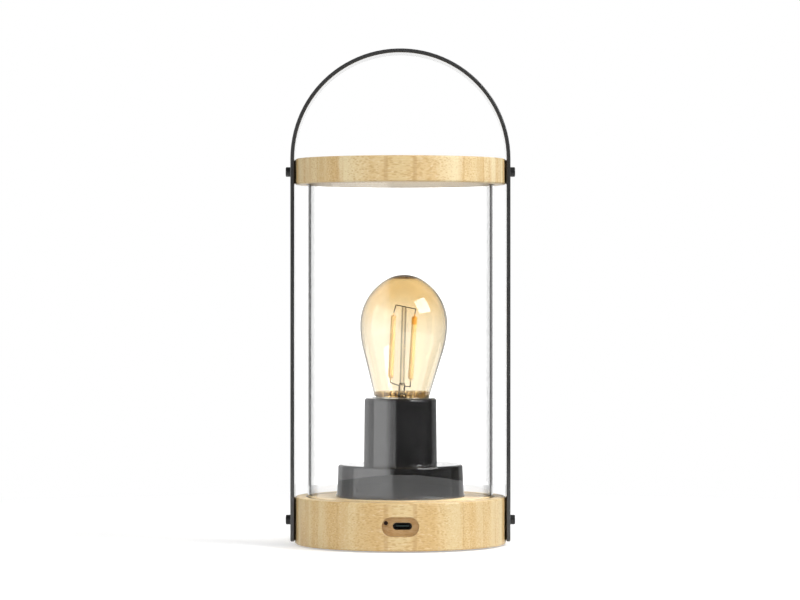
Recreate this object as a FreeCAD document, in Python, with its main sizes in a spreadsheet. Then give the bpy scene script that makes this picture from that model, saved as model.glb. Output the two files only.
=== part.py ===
import FreeCAD, Part
import math
import os
import re
import Sketcher

# Lantern table lamp: a bamboo base and a bamboo top disc with a glass tube between them, a flat
# steel strap that holds both and arches over the top as a handle, and inside the tube a ceramic
# lamp holder with a pear-shaped filament bulb. The base is hollow and holds battery and board.
# Millimetres. +Z is up, the socket in the base faces -Y, and the origin is the middle of the
# plane that the feet stand on. Heights named in the sheet start at the wood's underside.

SIZES = {
    # wood discs and the feet under them
    "foot_proud": 0.8,
    "disc_radius": 54.0,
    "base_thickness": 24.0,
    "lid_thickness": 13.0,
    "wood_bevel": 0.6,
    "cavity_radius": 41.0,
    "base_top_wall": 4.0,
    "fit_gap": 0.05,
    "slack": 0.3,
    # glass tube, the grooves that hold it and the soft ring in each groove
    "tube_radius": 47.5,
    "tube_wall": 1.5,
    "tube_show": 159.5,
    "groove_depth": 3.5,
    "ring_thickness": 0.8,
    # strap handle, its screws and their inserts in the wood
    "strap_thickness": 2.0,
    "strap_width": 23.0,
    "strap_end_rise": 1.5,
    "strap_edge_bevel": 0.3,
    "strap_end_round": 2.0,
    "strap_screw_radius": 1.5,
    "strap_screw_tip": 0.9,
    "strap_head_radius": 2.5,
    "strap_head_height": 2.7,
    "strap_head_bevel": 0.35,
    "hex_flats": 2.5,
    "hex_depth": 1.4,
    "screw_hole_gap": 0.2,
    "insert_radius": 2.3,
    "insert_length": 6.2,
    "insert_sink": 0.6,
    # bottom cover, its screws and the four feet on it
    "cover_radius": 47.0,
    "cover_recess": 0.5,
    "cover_thickness": 2.5,
    "cover_screw_circle": 44.0,
    "cover_screw_radius": 1.2,
    "cover_screw_reach": 7.0,
    "cover_head_radius": 2.4,
    "cover_head_height": 1.2,
    "foot_circle": 34.0,
    "foot_radius": 5.0,
    "foot_seat": 0.7,
    "foot_bevel": 0.3,
    # socket recess in the front of the base, socket and indicator
    "recess_length": 18.5,
    "recess_height": 9.7,
    "recess_depth": 4.6,
    "recess_rise": 12.2,
    "front_wall": 2.2,
    "port_shift": 1.0,
    "port_rise": 12.3,
    "port_length": 8.94,
    "port_height": 3.26,
    "port_sheet": 0.3,
    "port_depth": 8.0,
    "port_gap": 0.17,
    "port_sink": 0.4,
    "tongue_length": 6.7,
    "tongue_height": 0.7,
    "tongue_reach": 6.0,
    "light_shift": 7.2,
    "light_rise": 13.8,
    "light_radius": 1.0,
    "light_sink": 1.2,
    "light_reach": 5.0,
    "light_block": 2.0,
    # circuit board, its posts, screws and what is soldered on it
    "board_thickness": 1.6,
    "board_neck_width": 19.0,
    "board_neck_back": 37.0,
    "board_width": 32.0,
    "board_back": 9.0,
    "board_bay_gap": 0.7,
    "board_bay_height": 7.0,
    "board_bay_drop": 0.7,
    "post_radius": 2.8,
    "post_shift": 12.5,
    "post_back": 14.0,
    "board_screw_radius": 0.9,
    "board_screw_reach": 5.0,
    "board_head_radius": 1.8,
    "board_head_height": 1.2,
    "coil_radius": 3.0,
    "coil_height": 3.2,
    "coil_shift": 9.0,
    "coil_back": 30.0,
    "chip_side": 5.0,
    "chip_height": 1.0,
    "chip_shift": 9.0,
    "chip_back": 26.0,
    "plug_block_width": 9.0,
    "plug_block_depth": 5.0,
    "plug_block_height": 4.0,
    "plug_block_back": 21.0,
    # push switch under the board and the button that works it
    "switch_side": 6.2,
    "switch_height": 3.0,
    "switch_back": 24.0,
    "switch_bore_depth": 2.2,
    "plunger_radius": 1.65,
    "plunger_gap": 0.1,
    "plunger_length": 2.4,
    "button_radius": 5.0,
    "button_gap": 0.2,
    "button_height": 4.4,
    "button_flange_radius": 6.2,
    "button_flange_height": 0.8,
    "button_bevel": 0.4,
    # battery pack and the low wall round it on the cover
    "battery_length": 48.0,
    "battery_width": 34.0,
    "battery_height": 10.0,
    "battery_back": 11.5,
    "battery_round": 2.0,
    "battery_wall": 1.2,
    "battery_wall_height": 4.0,
    # ceramic lamp holder, heights from its foot
    "flange_foot_radius": 32.5,
    "flange_top_radius": 31.9,
    "flange_height": 16.5,
    "flange_bevel": 0.7,
    "foot_lip_radius": 32.9,
    "foot_lip_height": 1.2,
    "neck_foot_radius": 18.8,
    "neck_top_radius": 18.45,
    "holder_height": 50.4,
    "neck_chamfer": 0.9,
    "mouth_chamfer": 0.5,
    "socket_radius": 14.5,
    "web_low": 19.2,
    "web_thickness": 4.0,
    "terminal_bay_radius": 13.5,
    "wiring_bay_radius": 27.0,
    "wiring_bay_height": 11.5,
    "boss_radius": 4.5,
    "boss_shift": 21.0,
    "holder_screw_radius": 2.0,
    "holder_screw_reach": 8.0,
    "holder_head_radius": 3.5,
    "holder_head_height": 2.4,
    "lead_hole_radius": 4.0,
    # contacts and terminals in the holder
    "screw_shell_radius": 14.1,
    "screw_shell_sheet": 0.4,
    "screw_shell_height": 22.0,
    "screw_shell_floor_hole": 6.5,
    "contact_width": 6.0,
    "contact_sheet": 0.4,
    "contact_rise": 1.0,
    "contact_foot": 5.4,
    "contact_bend": 2.6,
    "contact_reach": 2.6,
    "terminal_length": 5.0,
    "terminal_height": 6.0,
    "stud_radius": 1.5,
    "shell_stud_shift": 9.0,
    "contact_stud_shift": 3.6,
    # bulb, heights from its end contact, and the slight lean it has in its thread
    "bulb_lean": 1.7,
    "bulb_pivot": 6.0,
    "bulb_height": 89.0,
    "bulb_radius": 22.4,
    "bulb_dome": 25.5,
    "bulb_tip_round": 18.5,
    "bulb_shoulder_round": 50.0,
    "bulb_glass_wall": 0.8,
    "bulb_neck_radius": 14.0,
    "bulb_neck_height": 26.4,
    "bulb_sleeve_radius": 12.7,
    "bulb_sleeve_end": 19.5,
    "cap_radius": 13.1,
    "cap_sheet": 0.35,
    "cap_low": 4.25,
    "cap_shoulder": 6.6,
    "cap_lip_radius": 11.2,
    "cap_hole_radius": 9.0,
    "insulator_radius": 11.0,
    "insulator_low_radius": 5.6,
    "insulator_height": 3.2,
    "tip_radius": 4.8,
    "tip_height": 1.0,
    "tip_flat_radius": 3.4,
    # inside the bulb: glass stem, filaments and wires
    "flare_radius": 11.6,
    "flare_glass": 0.8,
    "flare_low": 20.0,
    "flare_throat_radius": 2.7,
    "flare_throat": 25.6,
    "pinch_radius": 1.75,
    "pinch_low": 28.6,
    "pinch_top": 32.2,
    "rod_radius": 1.25,
    "rod_low": 33.6,
    "rod_headroom": 16.7,
    "filament_radius": 1.35,
    "filament_short": 4.2,
    "filament_tab_radius": 0.4,
    "filament_tab": 1.2,
    "left_filament_shift": 5.9,
    "left_filament_rise": 35.9,
    "left_filament_lean": 1.0,
    "right_filament_shift": 4.3,
    "right_filament_rise": 35.6,
    "right_filament_lean": 2.1,
    "wire_radius": 0.25,
    "wire_spread": 1.0,
    "wire_seal": 2.4,
    "left_wire_drop": 1.1,
    "left_wire_hook": 4.0,
    "left_wire_inset": 1.2,
    "right_wire_drop": 2.6,
    "right_wire_hook": 2.6,
    "right_wire_inset": -0.4,
    # leads inside the base
    "lead_radius": 0.6,
    "battery_lead_shift": 3.2,
    "battery_lead_start": 2.6,
    "battery_lead_rise": 0.5,
    "battery_lead_bend": 5.1,
    "lamp_lead_shift": 1.8,
    "lamp_lead_start": 17.5,
    "lamp_lead_level": 16.6,
    "lamp_lead_turn": 31.0,
}

# Places worked out from the sizes above.
PLACES = {
    "lid_low": "base_thickness + tube_show",
    "lid_top": "lid_low + lid_thickness",
    "cover_low": "cover_recess",
    "cover_top": "cover_recess + cover_thickness",
    "ceiling": "base_thickness - base_top_wall",
    "board_top": "port_rise - port_height / 2",
    "board_low": "board_top - board_thickness",
    "recess_floor": "disc_radius - recess_depth",
    "bay_front": "recess_floor - front_wall",
    "port_front": "recess_floor - port_sink",
    "groove_outer": "tube_radius + slack",
    "groove_inner": "tube_radius - tube_wall - slack",
    "tube_low": "base_thickness - groove_depth + ring_thickness",
    "tube_top": "lid_low + groove_depth - ring_thickness",
    "web_top": "web_low + web_thickness",
    "switch_low": "board_low - switch_height",
    "foot_thickness": "foot_proud + cover_recess + foot_seat",
    "bulb_seat": "base_thickness + web_top + contact_rise + slack",
    "battery_low": "cover_top + fit_gap",
    "strap_screw_reach": "insert_sink + insert_length + strap_screw_tip",
    "board_front": "bay_front - board_bay_gap",
    "bulb_widest": "bulb_height - bulb_dome",
    "rod_top": "bulb_height - rod_headroom",
    "filament_length": "rod_top - left_filament_rise - filament_short",
}

XY = "XY_Plane"
XZ = "XZ_Plane"
YZ = "YZ_Plane"
FULL_TURN = 360
BEND_SHARE = 0.45
SHARP_BENDS = 1
NEARLY = 1e-4
HEX_SIDES = 6
QUARTER_ANGLES = (45, 135, 225, 315)
V = FreeCAD.Vector

doc = FreeCAD.newDocument("LanternLamp")
sheet = doc.addObject("Spreadsheet::Sheet", "Sizes")
places = doc.addObject("Spreadsheet::Sheet", "Places")


def in_sheet(formula):
    """Points each size or place that a formula names at its cell."""
    def cell(word):
        if word.group(0) in SIZES:
            return "Sizes." + word.group(0)
        if word.group(0) in PLACES:
            return "Places." + word.group(0)
        return word.group(0)
    return re.sub(r"[a-z_]+", cell, formula)


def fill_sheets():
    for row, (name, number) in enumerate(SIZES.items(), 1):
        sheet.set("A%d" % row, name)
        sheet.set("B%d" % row, str(number))
        sheet.setAlias("B%d" % row, name)
    doc.recompute()
    for row, (name, formula) in enumerate(PLACES.items(), 1):
        places.set("A%d" % row, name)
        places.setAlias("B%d" % row, name)
        places.set("B%d" % row, "=" + in_sheet(formula))
        doc.recompute()


def value(formula):
    """The number that a formula of sizes and places comes to."""
    return float(sheet.evalExpression(in_sheet(formula)))


def bind(thing, setting, formula):
    thing.setExpression(setting, in_sheet(formula))


# ---- sketches -------------------------------------------------------------------------------

def origin_part(body, role):
    return next(part for part in body.Origin.OriginFeatures if part.Role == role)


def new_body(label):
    body = doc.addObject("PartDesign::Body", label)
    body.Label = label
    return body


def new_sketch(body, plane, offset=None, lift=None):
    """A sketch on one of the body's origin planes, moved along its normal or up in its plane."""
    sketch = body.newObject("Sketcher::SketchObject", body.Label + "_sketch")
    sketch.AttachmentSupport = [(origin_part(body, plane), "")]
    sketch.MapMode = "FlatFace"
    if offset:
        bind(sketch, "AttachmentOffset.Base.z", offset)
    if lift:
        bind(sketch, "AttachmentOffset.Base.y", lift)
    return sketch


def pin_point(sketch, piece, point, across, up):
    """Holds a point of a sketch at two formulas from the sketch's origin."""
    for kind, formula in (("DistanceX", across), ("DistanceY", up)):
        if formula is None:
            continue
        held = sketch.addConstraint(
            Sketcher.Constraint(kind, -1, 1, piece, point, value(formula)))
        bind(sketch, "Constraints[%d]" % held, formula)


def set_radius(sketch, piece, formula):
    held = sketch.addConstraint(Sketcher.Constraint("Radius", piece, value(formula)))
    bind(sketch, "Constraints[%d]" % held, formula)


def polygon(sketch, corners):
    """A closed outline of straight lines, with each corner held by two formulas."""
    spots = [V(value(across), value(up), 0) for across, up in corners]
    first = sketch.GeometryCount
    count = len(corners)
    for number in range(count):
        line = Part.LineSegment(spots[number], spots[(number + 1) % count])
        sketch.addGeometry(line, False)
    for number in range(count):
        following = first + (number + 1) % count
        sketch.addConstraint(Sketcher.Constraint("Coincident", first + number, 2, following, 1))
    for number, (across, up) in enumerate(corners):
        pin_point(sketch, first + number, 1, across, up)
    return sketch


def rectangle(sketch, left, right, low, high):
    return polygon(sketch, [(left, low), (right, low), (right, high), (left, high)])


def circle(sketch, across, up, radius):
    shape = Part.Circle(V(value(across), value(up), 0), V(0, 0, 1), value(radius))
    piece = sketch.addGeometry(shape, False)
    set_radius(sketch, piece, radius)
    pin_point(sketch, piece, 3, across, up)
    return sketch


def slot(sketch, across, up, length, height):
    """A pill-shaped outline, round at both ends."""
    radius = value(height) / 2
    middle = V(value(across), value(up), 0)
    reach = V(value(length) / 2 - radius, 0, 0)
    rise = V(0, radius, 0)
    normal = V(0, 0, 1)
    right = Part.ArcOfCircle(Part.Circle(middle + reach, normal, radius), -math.pi / 2, math.pi / 2)
    left = Part.ArcOfCircle(
        Part.Circle(middle - reach, normal, radius), math.pi / 2, 3 * math.pi / 2)
    top = Part.LineSegment(middle + reach + rise, middle - reach + rise)
    bottom = Part.LineSegment(middle - reach - rise, middle + reach - rise)
    first = sketch.GeometryCount
    sketch.addGeometry([right, top, left, bottom], False)
    for number in range(4):
        following = first + (number + 1) % 4
        sketch.addConstraint(Sketcher.Constraint("Tangent", first + number, 2, following, 1))
    sketch.addConstraint(Sketcher.Constraint("Horizontal", first + 1))
    sketch.addConstraint(Sketcher.Constraint("Horizontal", first + 3))
    half = "(%s) / 2 - (%s) / 2" % (length, height)
    set_radius(sketch, first, "(%s) / 2" % height)
    pin_point(sketch, first, 3, "(%s) + %s" % (across, half), up)
    pin_point(sketch, first + 2, 3, "(%s) - (%s)" % (across, half), None)
    return sketch


# ---- features -------------------------------------------------------------------------------

def feature(body, kind, sketch):
    made = body.newObject("PartDesign::" + kind, body.Label + "_" + kind)
    made.Profile = sketch
    sketch.Visibility = False
    return made


def revolve(body, sketch, axis="V_Axis"):
    turned = feature(body, "Revolution", sketch)
    turned.ReferenceAxis = (sketch, [axis])
    turned.Angle = FULL_TURN
    doc.recompute()
    return turned


def pad(body, sketch, length, middle=False, reverse=False):
    raised = feature(body, "Pad", sketch)
    bind(raised, "Length", length)
    raised.SideType = "Symmetric" if middle else "One side"
    raised.Reversed = reverse
    doc.recompute()
    return raised


def must_shrink(body, before, what):
    if body.Shape.Volume > before - NEARLY:
        raise RuntimeError(body.Label + ": the cut took nothing away, " + what)


def groove(body, sketch):
    before = body.Shape.Volume
    cut = feature(body, "Groove", sketch)
    cut.ReferenceAxis = (sketch, ["V_Axis"])
    cut.Angle = FULL_TURN
    doc.recompute()
    must_shrink(body, before, cut.Label)
    return cut


def pocket(body, sketch, length=None, middle=False, reverse=False):
    """Cuts against the sketch's normal, to a depth, or right through without one."""
    before = body.Shape.Volume
    cut = feature(body, "Pocket", sketch)
    if length:
        bind(cut, "Length", length)
    else:
        cut.Type = "ThroughAll"
    cut.SideType = "Symmetric" if middle else "One side"
    cut.Reversed = reverse
    doc.recompute()
    must_shrink(body, before, cut.Label)
    return cut


def mirror(body, originals):
    copied = body.newObject("PartDesign::Mirrored", body.Label + "_Mirrored")
    copied.Originals = originals
    copied.MirrorPlane = (origin_part(body, YZ), [""])
    body.Tip = copied
    doc.recompute()
    return copied


def around(body, originals, count):
    """Repeats features round the upright axis."""
    copied = body.newObject("PartDesign::PolarPattern", body.Label + "_PolarPattern")
    copied.Originals = originals
    copied.Axis = (origin_part(body, "Z_Axis"), [""])
    copied.Angle = FULL_TURN
    copied.Occurrences = count
    body.Tip = copied
    doc.recompute()
    return copied


def edges_where(body, test):
    return ["Edge%d" % number for number, edge in enumerate(body.Tip.Shape.Edges, 1) if test(edge)]


def dress(body, kind, size, test):
    """Rounds or bevels the edges that the test picks."""
    edges = edges_where(body, test)
    if not edges:
        raise RuntimeError(body.Label + ": no edge to round")
    base = body.Tip
    made = body.newObject("PartDesign::" + kind, body.Label + "_" + kind)
    made.Base = (base, edges)
    bind(made, "Radius" if kind == "Fillet" else "Size", size)
    doc.recompute()
    return made


def rim(radius, height):
    """A test for the round edge of this radius at this height."""
    def is_rim(edge):
        curve = edge.Curve
        if not isinstance(curve, Part.Circle):
            return False
        same_radius = abs(curve.Radius - value(radius)) < NEARLY
        return same_radius and abs(curve.Center.z - value(height)) < NEARLY
    return is_rim


# ---- placing --------------------------------------------------------------------------------

def stand_at(thing, height="0"):
    """Lifts a sub-part from its own foot to its height above the wood's underside."""
    bind(thing, "Placement.Base.z", "foot_proud + " + height)
    return thing


def stand_in_bulb(thing):
    """Puts a sub-part drawn round the bulb's own axis into the leaning bulb."""
    thing.Placement = FreeCAD.Placement(V(0, 0, 0), FreeCAD.Rotation(V(0, 1, 0), 1))
    bind(thing, "Placement.Rotation.Angle", "bulb_lean")
    bind(thing, "Placement.Base.x", "-bulb_pivot * sin(bulb_lean)")
    bind(thing, "Placement.Base.z",
         "foot_proud + bulb_seat + bulb_pivot * (1 - cos(bulb_lean))")
    return thing


def copies(label, source, spots):
    """One sub-part of several equal solids: each spot is x, y, z, a turning axis and an angle."""
    links = []
    for across, along, up, axis, angle in spots:
        link = doc.addObject("App::Link", source.Label + "_copy")
        link.LinkedObject = source
        link.Placement = FreeCAD.Placement(V(0, 0, 0), FreeCAD.Rotation(axis, 1))
        bind(link, "Placement.Rotation.Angle", angle)
        bind(link, "Placement.Base.x", across)
        bind(link, "Placement.Base.y", along)
        bind(link, "Placement.Base.z", up)
        links.append(link)
    group = doc.addObject("Part::Compound", label)
    group.Label = label
    group.Links = links
    return group


def on_circle(circle_radius, angle):
    return "%s * cos(%s)" % (circle_radius, angle), "%s * sin(%s)" % (circle_radius, angle)


def quarter_spots(circle_radius, up):
    """Four spots on a circle, between the axes."""
    spots = []
    for angle in QUARTER_ANGLES:
        across, along = on_circle(circle_radius, angle)
        spots.append((across, along, up, V(0, 0, 1), "0"))
    return spots


def pair_spots(shift, along, up):
    """Two spots, left and right."""
    return [(side + shift, along, up, V(0, 0, 1), "0") for side in ("-", "")]


def bent_wire(points, radius):
    """A thin bare wire along straight runs, with sharp bends."""
    ring = Part.Circle(points[0], points[1] - points[0], radius)
    section = Part.Wire([ring.toShape()])
    return Part.makePolygon(points).makePipeShell([section], True, False, SHARP_BENDS)


def run_tube(points, radius):
    """A round tube along straight runs that tangent arcs join, as large as the runs allow."""
    edges = []
    start = points[0]
    for before, corner, after in zip(points, points[1:], points[2:]):
        back = before - corner
        onward = after - corner
        half_turn = (math.pi - back.getAngle(onward)) / 2
        setback = BEND_SHARE * min(back.Length, onward.Length)
        bend = setback / math.tan(half_turn)
        back.normalize()
        onward.normalize()
        inward = back + onward
        inward.normalize()
        first = corner + back * setback
        last = corner + onward * setback
        middle = corner + inward * (bend / math.cos(half_turn) - bend)
        edges.append(Part.LineSegment(start, first).toShape())
        edges.append(Part.Arc(first, middle, last).toShape())
        start = last
    edges.append(Part.LineSegment(start, points[-1]).toShape())
    path = Part.Wire(edges)
    ring = Part.Circle(points[0], points[1] - points[0], radius)
    section = Part.Wire([ring.toShape()])
    return path.makePipeShell([section], True, False)


def point(across, along, up):
    return V(value(across), value(along), value(up))


# ---- wood and glass -------------------------------------------------------------------------

def bore_for_inserts(body, height):
    """Stepped holes from both sides of a disc for the strap screws and their inserts."""
    wide = new_sketch(body, YZ, "disc_radius")
    circle(wide, "0", height, "insert_radius + fit_gap")
    seat = pocket(body, wide, "insert_sink + insert_length")
    narrow = new_sketch(body, YZ, "disc_radius")
    circle(narrow, "0", height, "strap_screw_radius + slack")
    pilot = pocket(body, narrow, "strap_screw_reach + 2 * slack")
    mirror(body, [seat, pilot])


def base_body():
    """Turned disc, hollow from below, with a ring groove on top and the recess in its front."""
    body = new_body("base_body")
    section = new_sketch(body, XZ)
    polygon(section, [
        ("0", "ceiling"),
        ("cavity_radius", "ceiling"),
        ("cavity_radius", "cover_top"),
        ("cover_radius + slack", "cover_top"),
        ("cover_radius + slack", "0"),
        ("disc_radius", "0"),
        ("disc_radius", "base_thickness"),
        ("0", "base_thickness"),
    ])
    revolve(body, section)
    top_edge = rim("disc_radius", "base_thickness")
    low_edge = rim("disc_radius", "0")
    dress(body, "Chamfer", "wood_bevel", lambda edge: top_edge(edge) or low_edge(edge))

    seat = new_sketch(body, XZ)
    rectangle(seat, "groove_inner", "groove_outer", "base_thickness - groove_depth",
              "base_thickness")
    groove(body, seat)

    bore_for_inserts(body, "base_thickness / 2")

    holes = new_sketch(body, XY, "base_thickness")
    circle(holes, "0", "0", "lead_hole_radius")
    for side in ("-", ""):
        circle(holes, side + "boss_shift", "0", "holder_screw_radius + screw_hole_gap")
    pocket(body, holes, "base_top_wall")

    recess = new_sketch(body, XZ, "disc_radius")
    slot(recess, "0", "recess_rise", "recess_length", "recess_height")
    pocket(body, recess, "recess_depth")

    bay = new_sketch(body, XZ, "bay_front")
    rectangle(bay, "-board_neck_width / 2 - board_bay_gap", "board_neck_width / 2 + board_bay_gap",
              "board_low - board_bay_drop", "board_low - board_bay_drop + board_bay_height")
    pocket(body, bay, "bay_front - board_neck_back")

    mouth = new_sketch(body, XZ, "recess_floor")
    slot(mouth, "port_shift", "port_rise", "port_length + 2 * port_gap + slack",
         "port_height + 2 * port_gap")
    circle(mouth, "-light_shift", "light_rise", "light_radius + fit_gap")
    pocket(body, mouth, "front_wall + slack")

    across, along = on_circle("cover_screw_circle", QUARTER_ANGLES[0])
    pilot = new_sketch(body, XY, "cover_top")
    circle(pilot, across, along, "cover_screw_radius + fit_gap")
    around(body, [pocket(body, pilot, "cover_screw_reach", reverse=True)], len(QUARTER_ANGLES))
    return stand_at(body)


def top_disc():
    """Turned disc with the ring groove below."""
    body = new_body("top_disc")
    section = new_sketch(body, XZ)
    rectangle(section, "0", "disc_radius", "0", "lid_thickness")
    revolve(body, section)
    top_edge = rim("disc_radius", "lid_thickness")
    low_edge = rim("disc_radius", "0")
    dress(body, "Chamfer", "wood_bevel", lambda edge: top_edge(edge) or low_edge(edge))
    seat = new_sketch(body, XZ)
    rectangle(seat, "groove_inner", "groove_outer", "0", "groove_depth")
    groove(body, seat)
    bore_for_inserts(body, "lid_thickness / 2")
    return stand_at(body, "lid_low")


def ring_solid(label, inner, outer, height, foot):
    """A plain upright ring."""
    body = new_body(label)
    section = new_sketch(body, XZ)
    rectangle(section, inner, outer, "0", height)
    revolve(body, section)
    return stand_at(body, foot)


def glass_tube():
    return ring_solid("glass_tube", "tube_radius - tube_wall", "tube_radius",
                      "tube_top - tube_low", "tube_low")


def glass_rings():
    """Soft rings at the bottom of both grooves, under and over the glass."""
    inner = "groove_inner + fit_gap"
    outer = "groove_outer - fit_gap"
    low = ring_solid("lower_glass_ring", inner, outer, "ring_thickness",
                     "base_thickness - groove_depth")
    high = ring_solid("upper_glass_ring", inner, outer, "ring_thickness", "tube_top")
    return [low, high]


# ---- strap handle ---------------------------------------------------------------------------

def strap_outline(sketch):
    """Both legs and the half-round arch as one bent strip, seen from the front."""
    inner = value("disc_radius")
    outer = value("disc_radius + strap_thickness")
    low = value("strap_end_rise")
    high = value("lid_top")
    centre = V(0, high, 0)
    normal = V(0, 0, 1)
    sketch.addGeometry([
        Part.LineSegment(V(outer, low, 0), V(outer, high, 0)),
        Part.ArcOfCircle(Part.Circle(centre, normal, outer), 0, math.pi),
        Part.LineSegment(V(-outer, high, 0), V(-outer, low, 0)),
        Part.LineSegment(V(-outer, low, 0), V(-inner, low, 0)),
        Part.LineSegment(V(-inner, low, 0), V(-inner, high, 0)),
        Part.ArcOfCircle(Part.Circle(centre, normal, inner), 0, math.pi),
        Part.LineSegment(V(inner, high, 0), V(inner, low, 0)),
        Part.LineSegment(V(inner, low, 0), V(outer, low, 0)),
    ], False)
    # the inner arc runs the other way, so its two ends swap
    for one, end, other, start in ((0, 2, 1, 1), (1, 2, 2, 1), (4, 2, 5, 2), (5, 1, 6, 1)):
        sketch.addConstraint(Sketcher.Constraint("Tangent", one, end, other, start))
    for one, other in ((2, 3), (3, 4), (6, 7), (7, 0)):
        sketch.addConstraint(Sketcher.Constraint("Coincident", one, 2, other, 1))
    for upright in (0, 2, 4, 6):
        sketch.addConstraint(Sketcher.Constraint("Vertical", upright))
    pin_point(sketch, 0, 1, "disc_radius + strap_thickness", "strap_end_rise")
    pin_point(sketch, 2, 2, "-disc_radius - strap_thickness", "strap_end_rise")
    pin_point(sketch, 4, 1, "-disc_radius", "strap_end_rise")
    pin_point(sketch, 6, 2, "disc_radius", "strap_end_rise")
    for bend in (1, 5):
        pin_point(sketch, bend, 3, None, "lid_top")


def strap_handle():
    """Flat strip bent over the lamp: two straight legs on the wood and a half-round arch."""
    body = new_body("strap_handle")
    side_view = new_sketch(body, XZ)
    strap_outline(side_view)
    pad(body, side_view, "strap_width", middle=True)
    low = value("strap_end_rise")
    thickness = value("strap_thickness")

    def is_foot_corner(edge):
        box = edge.BoundBox
        flat = box.ZMax < low + NEARLY
        return flat and abs(box.XLength - thickness) < NEARLY
    dress(body, "Fillet", "strap_end_round", is_foot_corner)
    half = value("strap_width") / 2

    def is_long_edge(edge):
        box = edge.BoundBox
        on_side = abs(abs(box.YMin) - half) < NEARLY and box.YLength < NEARLY
        return on_side and box.ZLength > thickness
    dress(body, "Chamfer", "strap_edge_bevel", is_long_edge)
    holes = new_sketch(body, YZ)
    for height in ("base_thickness / 2", "lid_low + lid_thickness / 2"):
        circle(holes, "0", height, "strap_screw_radius + screw_hole_gap")
    pocket(body, holes, middle=True)
    return stand_at(body)


def side_spots(inset):
    """Four spots on the sides, low and high, each turned to point outward."""
    spots = []
    for height in ("base_thickness / 2", "lid_low + lid_thickness / 2"):
        spots.append(("disc_radius + " + inset, "0", height, V(0, 1, 0), "90"))
        spots.append(("-disc_radius - (%s)" % inset, "0", height, V(0, 1, 0), "-90"))
    return spots


def strap_screws():
    """Cap screws with a hexagon socket; the head seats on the strap's outer face."""
    screw = new_body("strap_screw")
    section = new_sketch(screw, XZ)
    polygon(section, [
        ("0", "-strap_thickness - strap_screw_reach"),
        ("strap_screw_radius", "-strap_thickness - strap_screw_reach"),
        ("strap_screw_radius", "0"),
        ("strap_head_radius", "0"),
        ("strap_head_radius", "strap_head_height"),
        ("0", "strap_head_height"),
    ])
    revolve(screw, section)
    dress(screw, "Chamfer", "strap_head_bevel", rim("strap_head_radius", "strap_head_height"))
    key = new_sketch(screw, XY, "strap_head_height")
    corners = []
    for number in range(HEX_SIDES):
        angle = number * FULL_TURN / HEX_SIDES
        corners.append(on_circle("hex_flats / 2 / cos(%d)" % (FULL_TURN / HEX_SIDES / 2), angle))
    polygon(key, corners)
    pocket(screw, key, "hex_depth")
    return stand_at(copies("strap_screws", screw, side_spots("strap_thickness")))


def threaded_inserts():
    """Brass sleeves in the wood, drawn along Z with the outer end at zero."""
    insert = new_body("threaded_insert")
    section = new_sketch(insert, XZ)
    rectangle(section, "strap_screw_radius + fit_gap", "insert_radius", "-insert_length", "0")
    revolve(insert, section)
    return stand_at(copies("threaded_inserts", insert, side_spots("(-insert_sink)")))


# ---- bottom cover, feet, board --------------------------------------------------------------

def base_cover():
    """Round cover with a low wall round the battery and two posts for the board."""
    body = new_body("base_cover")
    plate = new_sketch(body, XY, "cover_low")
    circle(plate, "0", "0", "cover_radius")
    pad(body, plate, "cover_thickness")

    wall = new_sketch(body, XY, "cover_top")
    for grow in ("slack", "slack + battery_wall"):
        rectangle(wall, "-battery_length / 2 - (%s)" % grow, "battery_length / 2 + %s" % grow,
                  "battery_back - battery_width / 2 - (%s)" % grow,
                  "battery_back + battery_width / 2 + %s" % grow)
    pad(body, wall, "battery_wall_height")

    posts = new_sketch(body, XY, "cover_top")
    for side in ("-", ""):
        circle(posts, side + "post_shift", "-post_back", "post_radius")
    pad(body, posts, "board_low - cover_top")
    threads = new_sketch(body, XY, "board_low")
    for side in ("-", ""):
        circle(threads, side + "post_shift", "-post_back", "board_screw_radius + fit_gap")
    pocket(body, threads, "board_screw_reach + slack")

    opening = new_sketch(body, XY, "cover_top")
    circle(opening, "0", "-switch_back", "button_radius + button_gap")
    pocket(body, opening, "cover_thickness")

    across, along = on_circle("foot_circle", QUARTER_ANGLES[0])
    seat = new_sketch(body, XY, "cover_low")
    circle(seat, across, along, "foot_radius + fit_gap")
    seats = pocket(body, seat, "foot_seat", reverse=True)
    across, along = on_circle("cover_screw_circle", QUARTER_ANGLES[0])
    head = new_sketch(body, XY, "cover_low")
    circle(head, across, along, "cover_head_radius + screw_hole_gap")
    heads = pocket(body, head, "cover_head_height", reverse=True)
    shank = new_sketch(body, XY, "cover_low")
    circle(shank, across, along, "cover_screw_radius + screw_hole_gap")
    shanks = pocket(body, shank, "cover_thickness", reverse=True)
    around(body, [seats, heads, shanks], len(QUARTER_ANGLES))
    return stand_at(body)


def plain_screw(label, shank, reach, head, height):
    """A screw that points up, with the underside of its head at zero."""
    body = new_body(label)
    section = new_sketch(body, XZ)
    polygon(section, [
        ("0", "-(%s)" % height),
        (head, "-(%s)" % height),
        (head, "0"),
        (shank, "0"),
        (shank, reach),
        ("0", reach),
    ])
    revolve(body, section)
    return body


def cover_screws():
    screw = plain_screw("cover_screw", "cover_screw_radius",
                        "cover_thickness - cover_head_height + cover_screw_reach - slack",
                        "cover_head_radius", "cover_head_height - fit_gap")
    spots = quarter_spots("cover_screw_circle", "cover_low + cover_head_height")
    return stand_at(copies("cover_screws", screw, spots))


def rubber_feet():
    foot = new_body("rubber_foot")
    disc = new_sketch(foot, XY)
    circle(disc, "0", "0", "foot_radius")
    pad(foot, disc, "foot_thickness")
    dress(foot, "Chamfer", "foot_bevel", rim("foot_radius", "0"))
    return stand_at(copies("rubber_feet", foot, quarter_spots("foot_circle", "-foot_proud")))


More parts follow.
